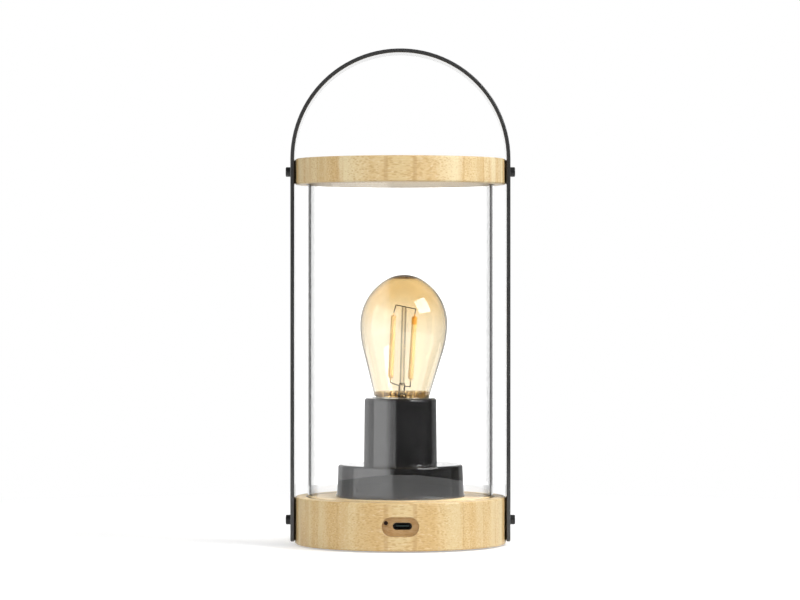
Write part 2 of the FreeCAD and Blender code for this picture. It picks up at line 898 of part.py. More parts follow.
def circuit_board():
    """A board with a neck that reaches into the front wall."""
    body = new_body("circuit_board")
    plan = new_sketch(body, XY, "board_low")
    polygon(plan, [
        ("-board_neck_width / 2", "-board_front"),
        ("board_neck_width / 2", "-board_front"),
        ("board_neck_width / 2", "-board_neck_back"),
        ("board_width / 2", "-board_neck_back"),
        ("board_width / 2", "-board_back"),
        ("-board_width / 2", "-board_back"),
        ("-board_width / 2", "-board_neck_back"),
        ("-board_neck_width / 2", "-board_neck_back"),
    ])
    pad(body, plan, "board_thickness")
    holes = new_sketch(body, XY, "board_top")
    for side in ("-", ""):
        circle(holes, side + "post_shift", "-post_back", "board_screw_radius + screw_hole_gap")
    pocket(body, holes, "board_thickness")
    return stand_at(body)


def board_screws():
    screw = plain_screw("board_screw", "board_screw_radius", "board_thickness + board_screw_reach",
                        "board_head_radius", "board_head_height")
    spots = []
    for side in ("-", ""):
        spots.append((side + "post_shift", "-post_back", "board_top", V(1, 0, 0), "180"))
    return stand_at(copies("board_screws", screw, spots))


def board_components():
    """Coil, charging chip and the block that takes the leads, soldered on the board."""
    coil = doc.addObject("Part::Cylinder", "coil")
    bind(coil, "Radius", "coil_radius")
    bind(coil, "Height", "coil_height")
    bind(coil, "Placement.Base.x", "coil_shift")
    bind(coil, "Placement.Base.y", "-coil_back")
    chip = doc.addObject("Part::Box", "chip")
    bind(chip, "Length", "chip_side")
    bind(chip, "Width", "chip_side")
    bind(chip, "Height", "chip_height")
    bind(chip, "Placement.Base.x", "-chip_shift - chip_side / 2")
    bind(chip, "Placement.Base.y", "-chip_back - chip_side / 2")
    block = doc.addObject("Part::Box", "plug_block")
    bind(block, "Length", "plug_block_width")
    bind(block, "Width", "plug_block_depth")
    bind(block, "Height", "plug_block_height")
    bind(block, "Placement.Base.x", "-plug_block_width / 2")
    bind(block, "Placement.Base.y", "-plug_block_back - plug_block_depth")
    group = doc.addObject("Part::Compound", "board_components")
    group.Label = "board_components"
    group.Links = [coil, chip, block]
    return stand_at(group, "board_top")


def usb_c_shell():
    """The socket's folded steel shell, open to the front."""
    body = new_body("usb_c_shell")
    outside = new_sketch(body, XZ, "port_front")
    slot(outside, "port_shift", "port_rise", "port_length", "port_height")
    pad(body, outside, "port_depth", reverse=True)
    inside = new_sketch(body, XZ, "port_front")
    slot(inside, "port_shift", "port_rise", "port_length - 2 * port_sheet",
         "port_height - 2 * port_sheet")
    pocket(body, inside, "port_depth - port_sheet")
    return stand_at(body)


def usb_c_tongue():
    body = new_body("usb_c_tongue")
    root = new_sketch(body, XZ, "port_front - port_depth + port_sheet")
    rectangle(root, "port_shift - tongue_length / 2", "port_shift + tongue_length / 2",
              "port_rise - tongue_height / 2", "port_rise + tongue_height / 2")
    pad(body, root, "tongue_reach")
    return stand_at(body)


def indicator_light_pipe():
    """Clear rod behind the indicator hole, on a block that stands on the board."""
    body = new_body("indicator_light_pipe")
    end = new_sketch(body, XZ, "recess_floor - light_sink")
    circle(end, "-light_shift", "light_rise", "light_radius")
    pad(body, end, "light_reach", reverse=True)
    block = new_sketch(body, XZ, "recess_floor - light_sink - light_reach + light_block")
    rectangle(block, "-light_shift - light_radius", "-light_shift + light_radius",
              "board_top", "light_rise + light_radius")
    pad(body, block, "light_block", reverse=True)
    return stand_at(body)


def power_switch():
    """Square switch under the board with a bore for its plunger."""
    body = new_body("power_switch")
    case = new_sketch(body, XY, "switch_low")
    rectangle(case, "-switch_side / 2", "switch_side / 2", "-switch_back - switch_side / 2",
              "-switch_back + switch_side / 2")
    pad(body, case, "switch_height")
    bore = new_sketch(body, XY, "switch_low")
    circle(bore, "0", "-switch_back", "plunger_radius + plunger_gap")
    pocket(body, bore, "switch_bore_depth", reverse=True)
    return stand_at(body)


def switch_plunger():
    body = new_body("switch_plunger")
    end = new_sketch(body, XY, "cover_low + button_height")
    circle(end, "0", "-switch_back", "plunger_radius")
    pad(body, end, "plunger_length")
    return stand_at(body)


def power_button():
    """Round button, flush with the cover, kept in by a flange on the cover's inner face."""
    button = new_body("power_button")
    section = new_sketch(button, XZ)
    polygon(section, [
        ("0", "0"),
        ("button_radius", "0"),
        ("button_radius", "cover_thickness"),
        ("button_flange_radius", "cover_thickness"),
        ("button_flange_radius", "cover_thickness + button_flange_height"),
        ("button_radius", "cover_thickness + button_flange_height"),
        ("button_radius", "button_height"),
        ("0", "button_height"),
    ])
    revolve(button, section)
    dress(button, "Chamfer", "button_bevel", rim("button_radius", "0"))
    bind(button, "Placement.Base.y", "-switch_back")
    return stand_at(button, "cover_low")


def battery_pack():
    body = new_body("battery_pack")
    plan = new_sketch(body, XY, "battery_low")
    rectangle(plan, "-battery_length / 2", "battery_length / 2",
              "battery_back - battery_width / 2", "battery_back + battery_width / 2")
    pad(body, plan, "battery_height")
    length = value("battery_length")
    dress(body, "Fillet", "battery_round",
          lambda edge: abs(edge.BoundBox.XLength - length) < NEARLY)
    return stand_at(body)


# ---- lamp holder ----------------------------------------------------------------------------

def lamp_holder():
    """Glazed ceramic body: wide flange, round neck, socket bore above, wiring bay below."""
    body = new_body("lamp_holder")
    section = new_sketch(body, XZ)
    polygon(section, [
        ("wiring_bay_radius", "0"),
        ("foot_lip_radius", "0"),
        ("foot_lip_radius", "foot_lip_height"),
        ("flange_foot_radius", "foot_lip_height"),
        ("flange_top_radius", "flange_height"),
        ("neck_foot_radius", "flange_height"),
        ("neck_top_radius", "holder_height"),
        ("socket_radius", "holder_height"),
        ("socket_radius", "web_top"),
        ("0", "web_top"),
        ("0", "web_low"),
        ("terminal_bay_radius", "web_low"),
        ("terminal_bay_radius", "wiring_bay_height"),
        ("wiring_bay_radius", "wiring_bay_height"),
    ])
    revolve(body, section)
    dress(body, "Chamfer", "flange_bevel", rim("flange_top_radius", "flange_height"))
    dress(body, "Chamfer", "neck_chamfer", rim("neck_top_radius", "holder_height"))
    dress(body, "Chamfer", "mouth_chamfer", rim("socket_radius", "holder_height"))

    bosses = new_sketch(body, XY)
    for side in ("-", ""):
        circle(bosses, side + "boss_shift", "0", "boss_radius")
    pad(body, bosses, "wiring_bay_height")
    threads = new_sketch(body, XY)
    for side in ("-", ""):
        circle(threads, side + "boss_shift", "0", "holder_screw_radius + fit_gap")
    pocket(body, threads, "holder_screw_reach + slack", reverse=True)
    studs = new_sketch(body, XY, "web_top")
    circle(studs, "-shell_stud_shift", "0", "stud_radius + fit_gap")
    circle(studs, "contact_stud_shift", "0", "stud_radius + fit_gap")
    pocket(body, studs, "web_thickness")
    return stand_at(body, "base_thickness")


def holder_screw_shell():
    """Thin metal cup that the bulb's cap screws into; its thread is left plain."""
    body = new_body("holder_screw_shell")
    section = new_sketch(body, XZ)
    polygon(section, [
        ("screw_shell_floor_hole", "web_top"),
        ("screw_shell_radius", "web_top"),
        ("screw_shell_radius", "web_top + screw_shell_height"),
        ("screw_shell_radius - screw_shell_sheet", "web_top + screw_shell_height"),
        ("screw_shell_radius - screw_shell_sheet", "web_top + screw_shell_sheet"),
        ("screw_shell_floor_hole", "web_top + screw_shell_sheet"),
    ])
    revolve(body, section)
    return stand_at(body, "base_thickness")


def holder_centre_contact():
    """Leaf spring: its foot on the web, its raised end under the bulb's end contact."""
    body = new_body("holder_centre_contact")
    leaf = new_sketch(body, XZ)
    polygon(leaf, [
        ("contact_foot", "web_top"),
        ("contact_foot", "web_top + contact_sheet"),
        ("contact_bend", "web_top + contact_sheet"),
        ("contact_bend - contact_rise", "web_top + contact_rise"),
        ("-contact_reach", "web_top + contact_rise"),
        ("-contact_reach", "web_top + contact_rise - contact_sheet"),
        ("contact_bend - contact_rise - contact_sheet / 2", "web_top + contact_rise - contact_sheet"),
        ("contact_bend - contact_sheet / 2", "web_top"),
    ])
    pad(body, leaf, "contact_width", middle=True)
    return stand_at(body, "base_thickness")


def holder_terminals():
    """Two brass blocks under the web, each with a stud up through it."""
    terminal = new_body("holder_terminal")
    block = new_sketch(terminal, XY)
    rectangle(block, "-terminal_length / 2", "terminal_length / 2", "-terminal_length / 2",
              "terminal_length / 2")
    pad(terminal, block, "terminal_height", reverse=True)
    stud = new_sketch(terminal, XY)
    circle(stud, "0", "0", "stud_radius")
    pad(terminal, stud, "web_thickness")
    spots = [
        ("-shell_stud_shift", "0", "web_low", V(0, 0, 1), "0"),
        ("contact_stud_shift", "0", "web_low", V(0, 0, 1), "0"),
    ]
    return stand_at(copies("holder_terminals", terminal, spots), "base_thickness")


def holder_screws():
    screw = plain_screw("holder_screw", "holder_screw_radius",
                        "base_top_wall + holder_screw_reach",
                        "holder_head_radius", "holder_head_height")
    return stand_at(copies("holder_screws", screw, pair_spots("boss_shift", "0", "ceiling")))


# ---- bulb, drawn round its own axis from its end contact up ----------------------------------

def bulb_outline(sketch, inset, end):
    """The bulb's half section: rounded tip, dome, shoulder, straight taper and neck sleeve."""
    widest = value("bulb_radius - (%s)" % inset)
    level = value("bulb_widest")
    top = value("bulb_height - (%s)" % inset)
    tip = value("bulb_tip_round - (%s)" % inset)
    shoulder = value("bulb_shoulder_round - (%s)" % inset)
    neck = value("bulb_neck_radius - (%s)" % inset)
    neck_level = value("bulb_neck_height + (%s)" % inset)
    sleeve = value("bulb_sleeve_radius - (%s)" % inset)
    low = value(end)
    rise = top - tip - level
    dome = (widest ** 2 + rise ** 2 - tip ** 2) / (2 * (widest - tip))
    dome_middle = V(widest - dome, level, 0)
    tip_middle = V(0, top - tip, 0)
    meet = math.atan2(rise, dome - widest)
    shoulder_middle = V(widest - shoulder, level, 0)
    drop = V(neck, neck_level, 0) - shoulder_middle
    taper = math.atan2(drop.y, drop.x) + math.acos(shoulder / drop.Length)
    leave = shoulder_middle + V(math.cos(taper), math.sin(taper), 0) * shoulder
    normal = V(0, 0, 1)
    sketch.addGeometry([
        Part.ArcOfCircle(Part.Circle(tip_middle, normal, tip), meet, math.pi / 2),
        Part.ArcOfCircle(Part.Circle(dome_middle, normal, dome), 0, meet),
        Part.ArcOfCircle(Part.Circle(shoulder_middle, normal, shoulder), taper, 0),
        Part.LineSegment(leave, V(neck, neck_level, 0)),
        Part.LineSegment(V(neck, neck_level, 0), V(sleeve, neck_level, 0)),
        Part.LineSegment(V(sleeve, neck_level, 0), V(sleeve, low, 0)),
        Part.LineSegment(V(sleeve, low, 0), V(0, low, 0)),
        Part.LineSegment(V(0, low, 0), V(0, top, 0)),
    ], False)
    for one, end_point, other, start in ((0, 1, 1, 2), (2, 1, 3, 1)):
        sketch.addConstraint(Sketcher.Constraint("Tangent", one, end_point, other, start))
    sketch.addConstraint(Sketcher.Constraint("Coincident", 1, 1, 2, 2))
    for number in range(3, 7):
        sketch.addConstraint(Sketcher.Constraint("Coincident", number, 2, number + 1, 1))
    sketch.addConstraint(Sketcher.Constraint("Coincident", 7, 2, 0, 2))
    for level_line in (4, 6):
        sketch.addConstraint(Sketcher.Constraint("Horizontal", level_line))
    for upright in (5, 7):
        sketch.addConstraint(Sketcher.Constraint("Vertical", upright))
    sketch.addConstraint(Sketcher.Constraint("PointOnObject", 0, 3, -2))
    sketch.addConstraint(Sketcher.Constraint("PointOnObject", 0, 2, -2))
    pin_point(sketch, 1, 1, "bulb_radius - (%s)" % inset, "bulb_widest")
    pin_point(sketch, 1, 3, None, "bulb_widest")
    pin_point(sketch, 2, 3, None, "bulb_widest")
    pin_point(sketch, 0, 2, None, "bulb_height - (%s)" % inset)
    set_radius(sketch, 0, "bulb_tip_round - (%s)" % inset)
    set_radius(sketch, 2, "bulb_shoulder_round - (%s)" % inset)
    pin_point(sketch, 3, 2, "bulb_neck_radius - (%s)" % inset,
              "bulb_neck_height + (%s)" % inset)
    pin_point(sketch, 5, 1, "bulb_sleeve_radius - (%s)" % inset, None)
    pin_point(sketch, 6, 1, None, end)


def bulb_glass():
    """Blown envelope of one wall thickness, open at its neck inside the cap."""
    body = new_body("bulb_glass")
    outside = new_sketch(body, XZ)
    bulb_outline(outside, "0", "bulb_sleeve_end")
    revolve(body, outside)
    inside = new_sketch(body, XZ)
    bulb_outline(inside, "bulb_glass_wall", "bulb_sleeve_end - bulb_glass_wall")
    groove(body, inside)
    return stand_in_bulb(body)


def bulb_cap():
    """Thin screw cap, its thread left plain, drawn in at its lower end."""
    body = new_body("bulb_cap")
    section = new_sketch(body, XZ)
    polygon(section, [
        ("cap_hole_radius", "cap_low"),
        ("cap_lip_radius", "cap_low"),
        ("cap_radius", "cap_shoulder"),
        ("cap_radius", "bulb_neck_height"),
        ("cap_radius - cap_sheet", "bulb_neck_height"),
        ("cap_radius - cap_sheet", "cap_shoulder + cap_sheet / 2"),
        ("cap_lip_radius - cap_sheet / 2", "cap_low + cap_sheet"),
        ("cap_hole_radius", "cap_low + cap_sheet"),
    ])
    revolve(body, section)
    return stand_in_bulb(body)


def bulb_insulator():
    """Black glass cone between the cap and the end contact."""
    body = new_body("bulb_insulator")
    section = new_sketch(body, XZ)
    polygon(section, [
        ("0", "tip_height"),
        ("insulator_low_radius", "tip_height"),
        ("insulator_radius", "tip_height + insulator_height"),
        ("0", "tip_height + insulator_height"),
    ])
    revolve(body, section)
    return stand_in_bulb(body)


def bulb_end_contact():
    body = new_body("bulb_end_contact")
    section = new_sketch(body, XZ)
    polygon(section, [
        ("0", "0"),
        ("tip_flat_radius", "0"),
        ("tip_radius", "tip_height / 2"),
        ("tip_radius", "tip_height"),
        ("0", "tip_height"),
    ])
    revolve(body, section)
    return stand_in_bulb(body)


def bulb_stem():
    """Glass flare in the neck, pinched seal and the thin rod that carries the wires."""
    body = new_body("bulb_stem")
    section = new_sketch(body, XZ)
    polygon(section, [
        ("flare_radius", "flare_low"),
        ("flare_radius", "flare_low + flare_glass"),
        ("flare_throat_radius", "flare_throat"),
        ("pinch_radius", "pinch_low"),
        ("pinch_radius", "pinch_top"),
        ("rod_radius", "rod_low"),
        ("rod_radius", "rod_top"),
        ("0", "rod_top"),
        ("0", "pinch_low"),
        ("flare_throat_radius - flare_glass", "flare_throat - flare_glass"),
        ("flare_radius - flare_glass", "flare_low"),
    ])
    revolve(body, section)
    return stand_in_bulb(body)


def bulb_filaments():
    """Two coated light filaments, each a round stick with a thin metal tab at both ends."""
    stick = new_body("filament")
    section = new_sketch(stick, XZ)
    polygon(section, [
        ("0", "-filament_tab"),
        ("filament_tab_radius", "-filament_tab"),
        ("filament_tab_radius", "0"),
        ("filament_radius", "0"),
        ("filament_radius", "filament_length"),
        ("filament_tab_radius", "filament_length"),
        ("filament_tab_radius", "filament_length + filament_tab"),
        ("0", "filament_length + filament_tab"),
    ])
    revolve(stick, section)
    low_end = rim("filament_radius", "0")
    high_end = rim("filament_radius", "filament_length")
    dress(stick, "Chamfer", "filament_radius / 3", lambda edge: low_end(edge) or high_end(edge))
    tilt = V(0, 1, 0)
    pair = copies("bulb_filaments", stick, [
        ("-left_filament_shift", "0", "left_filament_rise", tilt, "left_filament_lean"),
        ("right_filament_shift", "0", "right_filament_rise", tilt, "right_filament_lean"),
    ])
    return stand_in_bulb(pair)


def filament_end(side, rise, lean, along):
    """The middle of a filament's end face, this far along its stick."""
    return V(value("%s + (%s) * sin(%s)" % (side, along, lean)), 0,
             value("%s + (%s) * cos(%s)" % (rise, along, lean)))


def bulb_wires():
    """Lead wires from the seal to the filaments' feet, and a cross wire over the rod's end."""
    radius = value("wire_radius")
    rod_end = V(0, 0, value("rod_top") + radius)
    solids = []
    over_rod = []
    for side, name in ((-1, "left"), (1, "right")):
        stick = ("%d * %s_filament_shift" % (side, name), name + "_filament_rise",
                 name + "_filament_lean")
        foot = filament_end(*stick, "-filament_tab")
        below = foot - V(0, 0, value(name + "_wire_drop"))
        seal = V(side * value("wire_spread"), 0, value("pinch_top - wire_radius"))
        solids.append(bent_wire([seal - V(0, 0, value("wire_seal")), seal, below, foot], radius))
        tip = filament_end(*stick, "filament_length + filament_tab")
        corner = tip + V(-side * value(name + "_wire_inset"), 0, value(name + "_wire_hook"))
        over_rod.append([tip, corner])
    left, right = over_rod
    solids.append(bent_wire(left + [rod_end] + right[::-1], radius))
    wires = doc.addObject("Part::Feature", "bulb_wires")
    wires.Label = "bulb_wires"
    wires.Shape = Part.makeCompound(solids)
    return stand_in_bulb(wires)


# ---- leads in the base ----------------------------------------------------------------------

def battery_leads():
    """Two leads that arch from the battery's top to the board."""
    battery_top = value("battery_low + battery_height")
    near = value("-battery_lead_start")
    bend = value("battery_lead_bend")
    spring = battery_top + value("battery_lead_rise")
    solids = []
    for side in (-1, 1):
        shift = side * value("battery_lead_shift")
        far = near - 2 * bend
        edges = [
            Part.LineSegment(V(shift, near, battery_top), V(shift, near, spring)).toShape(),
            Part.Arc(V(shift, near, spring), V(shift, near - bend, spring + bend),
                     V(shift, far, spring)).toShape(),
            Part.LineSegment(V(shift, far, spring), V(shift, far, value("board_top"))).toShape(),
        ]
        ring = Part.Circle(V(shift, near, battery_top), V(0, 0, 1), value("lead_radius"))
        section = Part.Wire([ring.toShape()])
        solids.append(Part.Wire(edges).makePipeShell([section], True, False))
    leads = doc.addObject("Part::Feature", "battery_leads")
    leads.Label = "battery_leads"
    leads.Shape = Part.makeCompound(solids)
    return stand_at(leads)


def lamp_leads():
    """Two leads from the board up through the base's middle to the holder's terminals."""
    solids = []
    for side, stud in (("-", "-shell_stud_shift"), ("", "contact_stud_shift")):
        shift = side + "lamp_lead_shift"
        solids.append(run_tube([
            point(shift, "-lamp_lead_start", "board_top"),
            point(shift, "-lamp_lead_start", "lamp_lead_level"),
            point(shift, "-lead_radius", "lamp_lead_level"),
            point(shift, "-lead_radius", "base_thickness + slack"),
            point(stud, "0", "lamp_lead_turn"),
            point(stud, "0", "base_thickness + web_low - terminal_height"),
        ], value("lead_radius")))
    leads = doc.addObject("Part::Feature", "lamp_leads")
    leads.Label = "lamp_leads"
    leads.Shape = Part.makeCompound(solids)
    return stand_at(leads)


# ---- whole lamp -----------------------------------------------------------------------------

def check_and_write(sub_parts):
    doc.recompute()
    for thing in doc.Objects:
        if "Invalid" in thing.State or "Error" in thing.State:
            raise RuntimeError("%s failed: %s" % (thing.Label, thing.State))
    for sub_part in sub_parts:
        if sub_part.Shape.isNull() or not sub_part.Shape.isValid():
            raise RuntimeError(sub_part.Label + " has no valid shape")
    os.makedirs("parts", exist_ok=True)
    for sub_part in sub_parts:
        sub_part.Shape.exportStep("parts/%s.step" % sub_part.Label)


fill_sheets()
lamp = [
    base_body(),
    top_disc(),
    glass_tube(),
    *glass_rings(),
    strap_handle(),
    strap_screws(),
    threaded_inserts(),
    base_cover(),
    cover_screws(),
    rubber_feet(),
    circuit_board(),
    board_screws(),
    board_components(),
    usb_c_shell(),
    usb_c_tongue(),
    indicator_light_pipe(),
    power_switch(),
    switch_plunger(),
    power_button(),
    battery_pack(),
    lamp_holder(),
    holder_screw_shell(),
    holder_centre_contact(),
    holder_terminals(),
    holder_screws(),
    bulb_glass(),
    bulb_cap(),
    bulb_insulator(),
    bulb_end_contact(),
    bulb_stem(),
    bulb_filaments(),
    bulb_wires(),
    battery_leads(),
    lamp_leads(),
]
check_and_write(lamp)
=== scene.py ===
import math

import bpy
from mathutils import Matrix, Vector


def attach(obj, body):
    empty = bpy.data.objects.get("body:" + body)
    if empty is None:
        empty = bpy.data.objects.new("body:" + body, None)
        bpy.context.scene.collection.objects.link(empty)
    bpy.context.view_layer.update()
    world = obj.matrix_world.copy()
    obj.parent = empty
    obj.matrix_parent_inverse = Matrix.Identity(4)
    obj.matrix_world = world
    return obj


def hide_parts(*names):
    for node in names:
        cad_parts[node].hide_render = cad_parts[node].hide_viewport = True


# Lantern table lamp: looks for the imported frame. Metres, +Z up, the socket in the base faces -Y.

MM = 0.001

# The photograph's camera: its lens in pixels, its place and the shift of its frame.
PHOTO_WIDTH = 800
SENSOR = 36.0
FOCAL_PIXELS = 3220.0
CAMERA_DISTANCE = 1.649
CAMERA_HEIGHT = 0.1328
SHIFT_X = -0.0005
SHIFT_Y = -0.0184
CLIP_NEAR = 0.01
CLIP_FAR = 50

# Noise of natural stuff: how many layers it has, and how strong the fine ones are.
NATURAL = {"detail": 3.0, "roughness": 0.6}

# Wood: its boards, and where its painted shade lies: along the groove that holds the glass tube
# and in the recess routed for the socket.
BOARD = 0.0097
BOARD_OFFSET = 0.005
PALE_BOARDS = ((0.0, "e1c997"), (0.35, "e8d4a5"), (0.7, "eddbae"), (1.0, "f2e3bc"))
BAND_STRETCH = (7, 260, 12)
FIBRE_STRETCH = (240, 1500, 1500)
PORE_STRETCH = (330, 1150, 1150)
GROOVE_EDGE = 0.0479
GROOVE_SHADE = 0.0006
ROUTED_LOW = 0.005
ROUTED_TOP = 0.022
ROUTED_RADIUS = 0.0532
WOOD_EDGE = 0.0006

# Glaze and glass: refractive indexes, tints, and the heights on the bulb where its tint changes
# and where the painted reflection at its crown begins.
GLAZE_INDEX = 1.6
GLAZE_EDGE = 0.0007
GLASS_INDEX = 1.45
STEM_INDEX = 1.5
GLASS_SHADOW = 0.93
TUBE_MIDDLE = 0.0467
PALE_AMBER = (0.96, 0.885, 0.74, 1)
DEEP_AMBER = (0.87, 0.71, 0.45, 1)
AMBER_LOW = 0.106
AMBER_HIGH = 0.134
AMBER_WAVE = 0.012
SEAL_TOP = 0.0786
SEAL_EDGE = 0.0005
CROWN_LOW = 0.1358
CROWN_HIGH = 0.1368
STEM_CLEAR = (0.95, 0.93, 0.9, 1)
STEM_STREAK = (0.86, 0.83, 0.78, 1)
CHIP_PITCH = 0.00115
WORN_LOW = 0.1122

# Floor: its size and place, its glow in the camera's eyes, and where it fades to plain white.
FLOOR_RADIUS = 0.6
FLOOR_FORWARD = 0.1
FLOOR_DROP = 0.02 * MM
FLOOR_STEPS = 96
FLOOR_GLOW = 0.45
FLOOR_FADE = (0.4 * FLOOR_RADIUS, 0.85 * FLOOR_RADIUS)

# Studio: brightness, and each zone's soft edge in parts of a direction's unit length. A side
# panel has its start and stop in degrees, the softness of its stop, and its brightness.
DIM_ROOM = 0.07
DIM_REAR = 0.4
REAR_EDGE = (-0.1, 0.4)
BRIGHT_BACKDROP = 1.35
TUBE_BACKDROP = 1.75
BACKDROP_SIDE = (0.27, 0.21)
BACKDROP_TOP = (0.3, 0.22)
BACKDROP_FRONT = (0.0, 0.3)
SIDE_PANELS = ((-58, -15, 6, 2.0), (-95, -58, 1, 1.75))
PANEL_START = 1
PANEL_ENDS = (0.6, 0.45)
SOFT_FILL = 0.38

# Glass surfaces that a ray has crossed: 4 for both walls of the tube, and 4 more for the bulb's.
SURFACES_THROUGH = 4.0
INSIDE_WALL = 1.5
PAST_TUBE = (3, 5)
INTO_BULB = (4, 6)
INTO_STEM = (9, 10)
BULB_OUTLINE = 0.3
STEM_OUTLINE = 0.8

# Soft boxes: name, degrees to the right of the camera's side, degrees up, distance, width,
# height, radiance, whether it lights surfaces, and whether it shows in gloss and glass.
LAMPS = (
    ("KeyLamp", 66, 43, 1.2, 0.72, 0.6, 8.0, True, False),
    ("KeyGlint", 63, 36, 1.19, 0.72, 0.6, 22.0, False, True),
    ("FrontLamp", 12, 20, 1.6, 1.2, 1.0, 0.9, True, False),
    ("LeftLamp", -45, 15, 1.6, 1.0, 1.0, 1.4, True, False),
    ("RearLamp", 200, 28, 1.6, 1.2, 1.0, 0.5, True, False),
)
LAMP_AIM = Vector((0, 0, 0.12))

# The bulb's screw cap: heights along its own axis from its foot, radii, sheet and thread.
BULB_LEAN = math.radians(1.7)
BULB_PIVOT = Vector((0.0, 0.0, 0.0553))
BULB_PIVOT_HEIGHT = 6.0 * MM
CAP_LOW = 4.25 * MM
CAP_SHOULDER = 6.6 * MM
CAP_TOP = 26.4 * MM
CAP_LIP = 11.2 * MM
CAP_MIDDLE = 12.65 * MM
CAP_OUTER = 13.1 * MM
CAP_SHEET = 0.35 * MM
CAP_ROWS = 72
CAP_STEPS = 72
THREAD_PITCH = 3.63 * MM
THREAD_FADE = 1.2 * MM
THREAD_END = 19.0 * MM

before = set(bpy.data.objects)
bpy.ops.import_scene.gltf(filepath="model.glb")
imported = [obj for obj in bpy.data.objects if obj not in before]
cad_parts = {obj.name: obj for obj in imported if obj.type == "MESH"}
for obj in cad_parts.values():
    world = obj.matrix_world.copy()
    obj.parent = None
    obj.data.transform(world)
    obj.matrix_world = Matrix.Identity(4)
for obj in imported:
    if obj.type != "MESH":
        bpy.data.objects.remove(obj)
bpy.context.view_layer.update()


# ---- nodes ----------------------------------------------------------------------------------

class Look:
    """A material's node tree, built one node at a time."""

    def __init__(self, name="", tree=None, output="OutputMaterial"):
        self.material = None
        if tree is None:
            self.material = bpy.data.materials.new(name)
            self.material.use_nodes = True
            tree = self.material.node_tree
        self.tree = tree
        self.tree.nodes.clear()
        self.output = self.node(output)

    def node(self, kind, inputs=None, **settings):
        """A new node with its settings, its inputs fed by number or by name."""
        made = self.tree.nodes.new("ShaderNode" + kind)
        for name, setting in settings.items():
            setattr(made, name, setting)
        for name, source in (inputs or {}).items():
            self.feed(made.inputs[name], source)
        return made

    def feed(self, socket, source):
        """Links another node's output, or sets a plain value."""
        if isinstance(source, bpy.types.NodeSocket):
            self.tree.links.new(source, socket)
        else:
            socket.default_value = source

    def math(self, operation, first, second=0.0, third=0.0):
        made = self.node("Math", {0: first, 1: second, 2: third}, operation=operation)
        return made.outputs[0]

    def spread(self, value, low, high, new_low=0.0, new_high=1.0):
        """A value's range from low to high, eased into a new range."""
        made = self.node("MapRange", {"Value": value, "From Min": low, "From Max": high,
                                      "To Min": new_low, "To Max": new_high},
                         interpolation_type="SMOOTHSTEP")
        return made.outputs["Result"]

    def blend(self, share, first, second):
        """A number between two others."""
        return self.node("Mix", {0: share, 2: first, 3: second}).outputs[0]

    def mix(self, share, first, second):
        """A colour between two others."""
        return self.node("Mix", {0: share, 6: first, 7: second}, data_type="RGBA").outputs[2]

    def ramp(self, value, stops):
        """A colour read off a row of stops."""
        made = self.node("ValToRGB", {"Fac": value})
        elements = made.color_ramp.elements
        while len(elements) < len(stops):
            elements.new(0.5)
        for element, (place, shade) in zip(elements, stops):
            element.position = place
            element.color = shade
        return made.outputs["Color"]

    def place(self, scale=(1, 1, 1)):
        """The point in the node's own frame, stretched."""
        spot = self.node("TexCoord").outputs["Object"]
        return self.node("Mapping", {"Vector": spot, "Scale": scale}).outputs["Vector"]

    def axes(self):
        """The point's X, Y and Z in the node's own frame."""
        return self.node("SeparateXYZ", {"Vector": self.place()}).outputs[:]

    def radius(self, x, y):
        """The distance from the lamp's upright axis."""
        squares = self.math("ADD", self.math("POWER", x, 2), self.math("POWER", y, 2))
        return self.math("SQRT", squares)

    def noise(self, scale, detail=2.0, roughness=0.5, stretch=(1, 1, 1)):
        made = self.node("TexNoise", {"Vector": self.place(stretch), "Scale": scale,
                                      "Detail": detail, "Roughness": roughness})
        return made.outputs["Fac"]

    def facing(self):
        """0 where the surface faces the viewer, 1 where it turns away."""
        return self.node("LayerWeight", {"Blend": 0.5}).outputs["Facing"]

    def bump(self, height, strength, distance, normal=None):
        inputs = {"Height": height, "Strength": strength, "Distance": distance}
        if normal is not None:
            inputs["Normal"] = normal
        return self.node("Bump", inputs).outputs["Normal"]

    def soft_edges(self, radius):
        return self.node("Bevel", {"Radius": radius}, samples=4).outputs["Normal"]

    def surface(self, **inputs):
        """The main shader; underscores in a name stand for spaces."""
        named = {name.replace("_", " "): source for name, source in inputs.items()}
        return self.node("BsdfPrincipled", named)

    def finish(self, shader):
        self.feed(self.output.inputs["Surface"], shader.outputs[0])
        return self.material

    def finish_clear(self, shader):
        """Lets the light of lamps through the glass."""
        rays = self.node("LightPath").outputs["Is Shadow Ray"]
        through = self.node("BsdfTransparent", {"Color": grey(GLASS_SHADOW)})
        return self.finish(self.node("MixShader", {0: rays, 1: shader.outputs[0],
                                                   2: through.outputs[0]}))


def rgb(word):
    """A colour written as six hexadecimal digits, as the shader's linear values."""
    parts = [int(word[start:start + 2], 16) / 255 for start in (0, 2, 4)]
    return tuple(((c + 0.055) / 1.055) ** 2.4 if c > 0.04045 else c / 12.92 for c in parts) + (1,)


def grey(level):
    return (level, level, level, 1)


# ---- materials ------------------------------------------------------------------------------

def top_of(name):
    """The height of a node's highest point."""
    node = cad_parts[name]
    return max((node.matrix_world @ Vector(corner)).z for corner in node.bound_box)


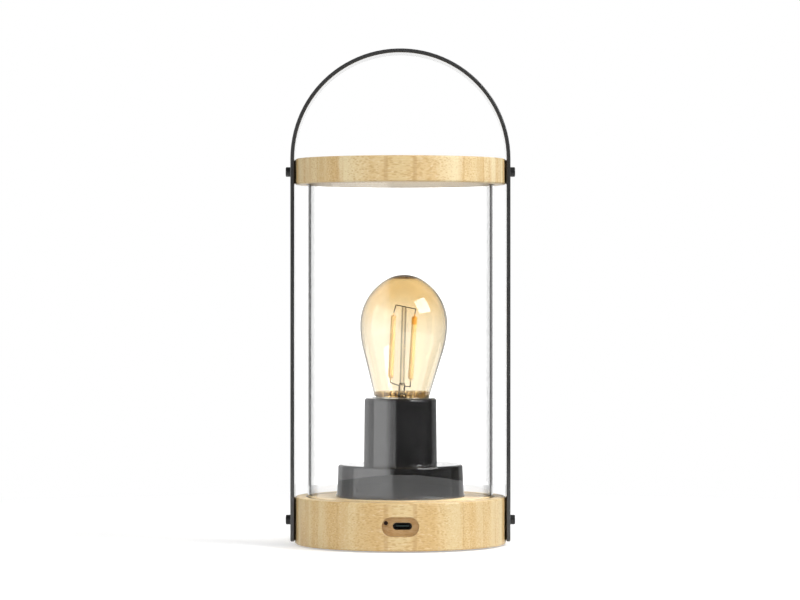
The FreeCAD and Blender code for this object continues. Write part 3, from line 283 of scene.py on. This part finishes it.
def bamboo(name, seed, shade_top):
    """Boards glued face to face from front to back, their fibres from left to right. Each board
    is golden and densely dotted on one side and paler on the other. Painted shade darkens the
    routed recess and the hollow inside the base, and below shade_top a dark line of painted
    shade runs along the groove that holds the glass tube."""
    look = Look(name)
    x, y, z = look.axes()
    depth = look.math("DIVIDE", look.math("ADD", y, BOARD_OFFSET), BOARD)
    number = look.math("FLOOR", depth)
    within = look.math("FRACT", depth)
    chance = look.node("TexWhiteNoise", {"W": look.math("ADD", number, seed)},
                       noise_dimensions="1D").outputs["Value"]
    pale = look.ramp(chance, [(place, rgb(word)) for place, word in PALE_BOARDS])
    golden = look.math("MAXIMUM", look.spread(within, 0.8, 0.3), look.spread(within, 0.9, 0.96))
    tone = look.mix(look.math("MULTIPLY", golden, 0.5), pale, rgb("e1c287"))

    bands = look.spread(look.noise(1.0, stretch=BAND_STRETCH, **NATURAL), 0.4, 0.62, 0.0, 0.55)
    tone = look.mix(bands, tone, rgb("d2aa6a"))
    fibre = look.noise(1.0, stretch=FIBRE_STRETCH, **NATURAL)
    tone = look.mix(look.spread(fibre, 0.45, 0.75, 0.0, 0.3), tone, rgb("c49956"))
    tone = look.mix(look.spread(fibre, 0.48, 0.25, 0.0, 0.4), tone, rgb("f8e9c8"))
    pores = look.node("TexVoronoi", {"Vector": look.place(PORE_STRETCH), "Scale": 1.0})
    dots = look.math("SUBTRACT", look.math("MULTIPLY_ADD", golden, 0.2, 0.2),
                     pores.outputs["Distance"])
    dots = look.spread(dots, -0.05, 0.08, 0.0, 0.42)
    tone = look.mix(dots, tone, rgb("bc8c4a"))
    edge = look.math("MINIMUM", within, look.math("SUBTRACT", 1.0, within))
    glue = look.spread(edge, 0.022, 0.006, 0.0, 0.35)
    tone = look.mix(glue, tone, rgb("b5824a"))

    radius = look.radius(x, y)
    # Painted shade: the routed recess and the hollow inside the base are darkened to stand for the
    # shade that falls in them.
    recess_shade = look.math("MULTIPLY", look.math("LESS_THAN", z, ROUTED_TOP),
                       look.math("GREATER_THAN", z, ROUTED_LOW))
    recess_shade = look.math("MULTIPLY", recess_shade, look.math("LESS_THAN", radius, ROUTED_RADIUS))
    tone = look.mix(look.math("MULTIPLY", recess_shade, 0.36), tone, rgb("a8702e"))
    # Painted shade: a dark line along the edge of the groove that holds the glass tube stands for
    # the shadow in the gap there.
    off = look.math("ABSOLUTE", look.math("SUBTRACT", radius, GROOVE_EDGE))
    shade = look.math("MULTIPLY", look.math("LESS_THAN", z, shade_top),
                      look.spread(off, GROOVE_SHADE, 0.5 * GROOVE_SHADE, 0.0, 0.75))
    tone = look.mix(shade, tone, rgb("4a3a28"))

    relief = look.math("SUBTRACT", fibre, look.math("MULTIPLY", dots, 0.6))
    normal = look.bump(relief, 0.14, 0.2 * MM, look.soft_edges(WOOD_EDGE))
    shine = look.spread(fibre, 0.3, 0.7, 0.36, 0.5)
    return look.finish(look.surface(Base_Color=tone, Roughness=shine, Normal=normal,
                                    Coat_Weight=0.1, Coat_Roughness=0.25))


def plain(name, colour, roughness, metallic=0.0, grain=900, depth=0.1, edges=0.0002, vary=0.12,
          **more):
    """A finish of one colour with slight unevenness in colour, shine and surface."""
    look = Look(name)
    fine = look.noise(grain, **NATURAL)
    broad = look.noise(60)
    darker = tuple(c * (1 - vary) for c in colour[:3]) + (1,)
    lighter = tuple(min(c * (1 + vary), 1) for c in colour[:3]) + (1,)
    tone = look.mix(look.spread(broad, 0.3, 0.7), darker, lighter)
    tone = look.mix(look.spread(fine, 0.35, 0.75, 0.0, 0.35), tone, darker)
    shine = look.spread(fine, 0.3, 0.7, roughness * 0.88, min(roughness * 1.12, 1.0))
    normal = look.bump(fine, depth, 0.06 * MM, look.soft_edges(edges))
    return look.finish(look.surface(Base_Color=tone, Roughness=shine, Metallic=metallic,
                                    Normal=normal, **more))


def glazed_ceramic():
    """Gloss black glaze that swells slightly."""
    look = Look("BlackGlaze")
    swell = look.noise(55, 1.0, 0.4)
    tone = look.mix(look.spread(swell, 0.3, 0.7), grey(0.006), grey(0.011))
    normal = look.bump(swell, 0.05, 0.4 * MM, look.soft_edges(GLAZE_EDGE))
    shine = look.spread(look.noise(300), 0.3, 0.7, 0.045, 0.075)
    return look.finish(look.surface(Base_Color=tone, Roughness=shine, IOR=GLAZE_INDEX,
                                    Normal=normal))


def tube_glass():
    """Clear glass whose long way through the wall shows dark at its outline."""
    look = Look("ClearTube")
    x, y, _ = look.axes()
    outside = look.math("GREATER_THAN", look.radius(x, y), TUBE_MIDDLE)
    edge = look.ramp(look.facing(), [(0.0, grey(1.0)), (0.8, grey(1.0)), (0.9, grey(0.8)),
                                     (1.0, grey(0.7))])
    tint = look.mix(outside, grey(1.0), edge)
    dust = look.spread(look.noise(700), 0.62, 0.8, 0.0, 0.02)
    glass = look.surface(Base_Color=tint, Roughness=dust, IOR=GLASS_INDEX,
                         Transmission_Weight=1.0)
    return look.finish_clear(glass)


def amber_glass():
    """Tinted bulb glass, its tint deeper towards the crown, streaked where it is sealed. At the
    crown's outline a dark brown is a painted reflection of the lid's shaded underside.
    """
    look = Look("AmberGlass")
    _, _, height = look.axes()
    wave = look.math("MULTIPLY_ADD", look.noise(70), AMBER_WAVE, -0.5 * AMBER_WAVE)
    level = look.spread(look.math("ADD", height, wave), AMBER_LOW, AMBER_HIGH)
    tint = look.mix(level, PALE_AMBER, DEEP_AMBER)
    streaks = look.noise(1.0, stretch=(900, 900, 120), **NATURAL)
    seal = look.mix(look.spread(streaks, 0.41, 0.59), rgb("7a5d30"), rgb("efdcb0"))
    tint = look.mix(look.spread(height, SEAL_TOP, SEAL_TOP - SEAL_EDGE), tint, seal)
    # Painted reflection: where the crown turns away from the view, a dark brown stands for the
    # lid's shaded underside mirrored in the glass.
    crown_reflection = look.math("MULTIPLY", look.spread(height, CROWN_LOW, CROWN_HIGH),
                      look.spread(look.facing(), 0.2, 0.5))
    tint = look.mix(crown_reflection, tint, rgb("6a5238"))
    glass = look.surface(Base_Color=tint, Roughness=0.0, IOR=GLASS_INDEX,
                         Transmission_Weight=1.0)
    return look.finish_clear(glass)


def stem_glass():
    """Clear glass with faint upright streaks."""
    look = Look("StemGlass")
    streaks = look.noise(1.0, stretch=(500, 500, 60))
    tint = look.mix(look.spread(streaks, 0.35, 0.7), STEM_CLEAR, STEM_STREAK)
    glass = look.surface(Base_Color=tint, Roughness=0.0, IOR=STEM_INDEX, Transmission_Weight=1.0)
    return look.finish_clear(glass)


def filament_coat():
    """Yellow coating over a row of small light chips, worn golden at the right one's top."""
    look = Look("FilamentCoat")
    x, _, height = look.axes()
    chip = look.math("FRACT", look.math("DIVIDE", height, CHIP_PITCH))
    gap = look.math("ABSOLUTE", look.math("SUBTRACT", chip, 0.5))
    tone = look.mix(look.spread(gap, 0.32, 0.48, 0.0, 0.3), rgb("fbdda4"), rgb("f6c886"))
    tone = look.mix(look.spread(look.noise(900), 0.4, 0.7, 0.0, 0.3), tone, rgb("ffe8c4"))
    worn = look.math("MULTIPLY", look.math("GREATER_THAN", x, 0.0),
                     look.spread(height, WORN_LOW, WORN_LOW + MM))
    tone = look.mix(worn, tone, rgb("f0ae4c"))
    normal = look.bump(gap, 0.1, 0.1 * MM)
    coat = look.surface(Base_Color=tone, Roughness=0.42, Normal=normal, Subsurface_Weight=0.25,
                        Subsurface_Radius=(0.6 * MM, 0.4 * MM, 0.2 * MM))
    return look.finish(coat)


def floor_look():
    """White for the camera and in reflections, with the object's shadow kept; clear from
    below."""
    look = Look("PaleFloor")
    rays = look.node("LightPath").outputs
    seen = look.math("MAXIMUM", rays["Is Camera Ray"],
                     look.math("MAXIMUM", rays["Is Glossy Ray"], rays["Is Transmission Ray"]))
    tone = look.mix(look.spread(look.noise(3), 0.3, 0.7), grey(0.80), grey(0.82))
    matt = look.node("BsdfDiffuse", {"Color": tone})
    glow = look.node("Emission", {"Color": grey(1.0),
                                  "Strength": look.math("MULTIPLY", seen, FLOOR_GLOW)})
    both = look.node("AddShader", {0: matt.outputs[0], 1: glow.outputs[0]})
    spot = look.node("TexCoord").outputs["Object"]
    out = look.node("VectorMath", {0: spot, 1: (0, -FLOOR_FORWARD, 0)}, operation="DISTANCE")
    rim = look.spread(out.outputs["Value"], *FLOOR_FADE)
    white = look.node("Emission", {"Color": grey(1.0), "Strength": 1.0})
    faded = look.node("MixShader", {0: look.math("MULTIPLY", rim, seen), 1: both.outputs[0],
                                    2: white.outputs[0]})
    below = look.node("NewGeometry").outputs["Backfacing"]
    clear = look.node("BsdfTransparent")
    return look.finish(look.node("MixShader", {0: below, 1: faded.outputs[0],
                                               2: clear.outputs[0]}))


brass = plain("Brass", rgb("c9a45c"), 0.3, metallic=1.0)
nickel = plain("NickelPlate", rgb("cfc8b8"), 0.26, metallic=1.0, grain=1500, depth=0.03,
               vary=0.05)
zinc = plain("ZincSteel", rgb("b4b5b8"), 0.32, metallic=1.0)
dark_steel = plain("SocketSteel", rgb("3a3733"), 0.3, metallic=1.0)
black_plastic = plain("BlackPlastic", rgb("1c1c1d"), 0.5)
strap_coat = plain("SatinBlackCoat", rgb("272727"), 0.42, grain=2600, depth=0.06, edges=0.0003,
                   Coat_Weight=0.8, Coat_Roughness=0.08)
screw_coat = plain("BlackScrews", rgb("1d1d1e"), 0.34, grain=1800)
rubber = plain("Rubber", rgb("232323"), 0.75, grain=1200, depth=0.2)
NODE_LOOKS = {
    "base_body": bamboo("BambooBase", 2.0, top_of("base_body") + MM),
    "top_disc": bamboo("BambooLid", 5.0, top_of("top_disc") - MM),
    "glass_tube": tube_glass(),
    "lower_glass_ring": rubber,
    "upper_glass_ring": rubber,
    "strap_handle": strap_coat,
    "strap_screws": screw_coat,
    "threaded_inserts": brass,
    "base_cover": plain("CoverPlastic", rgb("2b2724"), 0.55, grain=1400, depth=0.25),
    "cover_screws": zinc,
    "rubber_feet": rubber,
    "circuit_board": plain("SolderMask", rgb("1f3b2a"), 0.35),
    "board_screws": zinc,
    "board_components": black_plastic,
    "usb_c_shell": dark_steel,
    "usb_c_tongue": plain("SocketTongue", rgb("14302c"), 0.3),
    "indicator_light_pipe": plain("LightPipe", rgb("2a1409"), 0.6),
    "power_switch": black_plastic,
    "switch_plunger": black_plastic,
    "power_button": plain("ButtonPlastic", rgb("36312d"), 0.45, grain=1400, depth=0.2),
    "battery_pack": plain("BatteryPouch", rgb("8f98a3"), 0.4, metallic=0.6),
    "lamp_holder": glazed_ceramic(),
    "holder_screw_shell": nickel,
    "holder_centre_contact": brass,
    "holder_terminals": brass,
    "holder_screws": zinc,
    "bulb_glass": amber_glass(),
    "bulb_cap": nickel,
    "bulb_insulator": plain("CapGlass", rgb("101010"), 0.12),
    "bulb_end_contact": nickel,
    "bulb_stem": stem_glass(),
    "bulb_filaments": filament_coat(),
    "bulb_wires": plain("SupportWire", rgb("3a2b1e"), 0.4, metallic=0.3, grain=2000,
                        edges=0.00005),
    "battery_leads": plain("RedLead", rgb("8c1d18"), 0.45),
    "lamp_leads": plain("BlackLead", rgb("1a1a1a"), 0.45),
}
for name, look in NODE_LOOKS.items():
    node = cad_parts[name]
    node.data.materials.clear()
    node.data.materials.append(look)


# ---- the bulb's screw cap -------------------------------------------------------------------

def add_mesh(name, points, faces, look):
    mesh = bpy.data.meshes.new(name)
    mesh.from_pydata(points, [], faces)
    mesh.materials.append(look)
    made = bpy.data.objects.new(name, mesh)
    bpy.context.collection.objects.link(made)
    return made


def cap_radius(height, turn):
    """The cap's outer radius: rounded lower end, rolled thread, then the plain skirt."""
    if height < CAP_SHOULDER:
        rounding = math.sqrt((height - CAP_LOW) / (CAP_SHOULDER - CAP_LOW))
        return CAP_LIP + (CAP_MIDDLE - CAP_LIP) * rounding
    fade_in = min((height - CAP_SHOULDER) / THREAD_FADE, 1.0)
    fade_out = min(max((THREAD_END - height) / THREAD_FADE, 0.0), 1.0)
    wave = math.cos(math.tau * height / THREAD_PITCH - turn)
    skirt = (CAP_OUTER - CAP_MIDDLE) * (1 - fade_out)
    return CAP_MIDDLE + (CAP_OUTER - CAP_MIDDLE) * wave * fade_in * fade_out + skirt


def threaded_cap():
    """A thin rolled sleeve with a right-hand thread, leaning with the bulb: an outer and an
    inner layer of rows, joined at the foot and at the top."""
    stand = (Matrix.Translation(BULB_PIVOT) @ Matrix.Rotation(BULB_LEAN, 4, "Y")
             @ Matrix.Translation((0, 0, -BULB_PIVOT_HEIGHT)))
    points = []
    for inset in (0.0, CAP_SHEET):
        for row in range(CAP_ROWS + 1):
            height = CAP_LOW + (CAP_TOP - CAP_LOW) * row / CAP_ROWS
            for step in range(CAP_STEPS):
                turn = math.tau * step / CAP_STEPS
                radius = cap_radius(height, turn) - inset
                points.append(stand @ Vector((radius * math.cos(turn), radius * math.sin(turn),
                                              height)))
    layer = (CAP_ROWS + 1) * CAP_STEPS
    top = CAP_ROWS * CAP_STEPS
    faces = []
    for step in range(CAP_STEPS):
        after = (step + 1) % CAP_STEPS
        for row in range(CAP_ROWS):
            low, high = row * CAP_STEPS, (row + 1) * CAP_STEPS
            outside = (low + step, low + after, high + after, high + step)
            faces.append(outside)
            faces.append(tuple(layer + point for point in reversed(outside)))
        faces.append((top + step, top + after, layer + top + after, layer + top + step))
        faces.append((after, step, layer + step, layer + after))
    cap = add_mesh("ThreadedCap", points, faces, nickel)
    cap.data.shade_smooth()
    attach(cap, "bulb")
    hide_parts("bulb_cap")


threaded_cap()


# ---- floor, lamps, world and camera ---------------------------------------------------------

def add_floor():
    """A round white table top, wide enough to hold the object's shadow."""
    turns = [math.tau * step / FLOOR_STEPS for step in range(FLOOR_STEPS)]
    rim = [(FLOOR_RADIUS * math.sin(turn), FLOOR_RADIUS * math.cos(turn) - FLOOR_FORWARD,
            -FLOOR_DROP) for turn in turns]
    floor = add_mesh("Floor", rim, [tuple(reversed(range(FLOOR_STEPS)))], floor_look())


def add_lamp(name, turn, rise, distance, width, height, radiance, diffuse, glossy):
    """One soft box from the list of lamps."""
    turn, rise = math.radians(turn), math.radians(rise)
    away = Vector((math.sin(turn) * math.cos(rise), -math.cos(turn) * math.cos(rise),
                   math.sin(rise)))
    data = bpy.data.lights.new(name, "AREA")
    data.shape = "RECTANGLE"
    data.size, data.size_y = width, height
    data.energy = radiance * math.pi * width * height
    lamp = bpy.data.objects.new(name, data)
    lamp.location = LAMP_AIM + away * distance
    lamp.rotation_euler = (-away).to_track_quat("-Z", "Y").to_euler()
    lamp.visible_diffuse = diffuse
    lamp.visible_glossy = glossy
    lamp.visible_transmission = glossy
    bpy.context.collection.objects.link(lamp)


def room_light(look, way):
    """What a mirror would see: a dim studio, a white backdrop and pale panels on the left."""
    turn = look.math("DEGREES",
                     look.math("ARCTAN2", way["X"], look.math("MULTIPLY", way["Y"], -1)))
    side = look.math("ABSOLUTE", way["X"])
    backdrop = look.spread(side, *BACKDROP_SIDE, 0.0, BRIGHT_BACKDROP)
    backdrop = look.math("MULTIPLY", backdrop, look.spread(way["Z"], *BACKDROP_TOP))
    backdrop = look.math("MULTIPLY", backdrop, look.spread(way["Y"], *BACKDROP_FRONT))
    room = look.math("MAXIMUM", backdrop,
                     look.spread(way["Y"], *REAR_EDGE, DIM_ROOM, DIM_REAR))
    height = look.spread(look.math("ABSOLUTE", way["Z"]), *PANEL_ENDS)
    for start, stop, soft, level in SIDE_PANELS:
        begun = look.spread(turn, start - PANEL_START, start + PANEL_START, 0.0, level)
        panel = look.math("MULTIPLY", begun, look.spread(turn, stop + soft, stop - soft))
        room = look.math("MAXIMUM", room, look.math("MULTIPLY", panel, height))
    return room


def set_world():
    """Plain white where the camera looks straight at it or through both walls of a glass. A ray
    that runs along inside a wall crosses only two of its surfaces, sees the dim studio and
    darkens the glass's outline. After a matt surface the light is the same from everywhere."""
    world = bpy.data.worlds.new("Studio")
    bpy.context.scene.world = world
    world.use_nodes = True
    look = Look(tree=world.node_tree, output="OutputWorld")
    rays = look.node("LightPath").outputs
    direction = look.node("TexCoord").outputs["Generated"]
    room = room_light(look, look.node("SeparateXYZ", {"Vector": direction}).outputs)
    crossed = rays["Transmission Depth"]
    walls = look.math("MODULO", crossed, SURFACES_THROUGH)
    outline = look.math("MULTIPLY", look.math("GREATER_THAN", walls, INSIDE_WALL),
                        look.spread(crossed, *PAST_TUBE, 1.0, BULB_OUTLINE))
    outline = look.math("MAXIMUM", outline,
                        look.spread(crossed, *INTO_STEM, 0.0, STEM_OUTLINE))
    white = look.spread(crossed, *INTO_BULB, TUBE_BACKDROP, BRIGHT_BACKDROP)
    through = look.blend(outline, white, room)
    mirrored = look.math("MINIMUM", rays["Glossy Depth"], 1.0)
    straight = look.math("MULTIPLY", rays["Is Transmission Ray"],
                         look.math("SUBTRACT", 1.0, mirrored))
    room = look.blend(straight, room, through)
    bounced = look.math("MINIMUM", rays["Diffuse Depth"], 1.0)
    lit = look.blend(bounced, room, SOFT_FILL)
    level = look.blend(rays["Is Camera Ray"], lit, 1.0)
    look.finish(look.node("Background", {"Color": grey(1.0), "Strength": level}))


def add_camera():
    """The photograph's camera, level and straight in front."""
    data = bpy.data.cameras.new("Camera")
    data.sensor_width = SENSOR
    data.lens = FOCAL_PIXELS / PHOTO_WIDTH * SENSOR
    data.shift_x, data.shift_y = SHIFT_X, SHIFT_Y
    data.clip_start, data.clip_end = CLIP_NEAR, CLIP_FAR
    camera = bpy.data.objects.new("Camera", data)
    camera.location = (0, -CAMERA_DISTANCE, CAMERA_HEIGHT)
    camera.rotation_euler = (math.pi / 2, 0, 0)
    bpy.context.collection.objects.link(camera)
    bpy.context.scene.camera = camera


add_floor()
for lamp in LAMPS:
    add_lamp(*lamp)
set_world()
add_camera()
bpy.context.scene.view_settings.view_transform = "Standard"
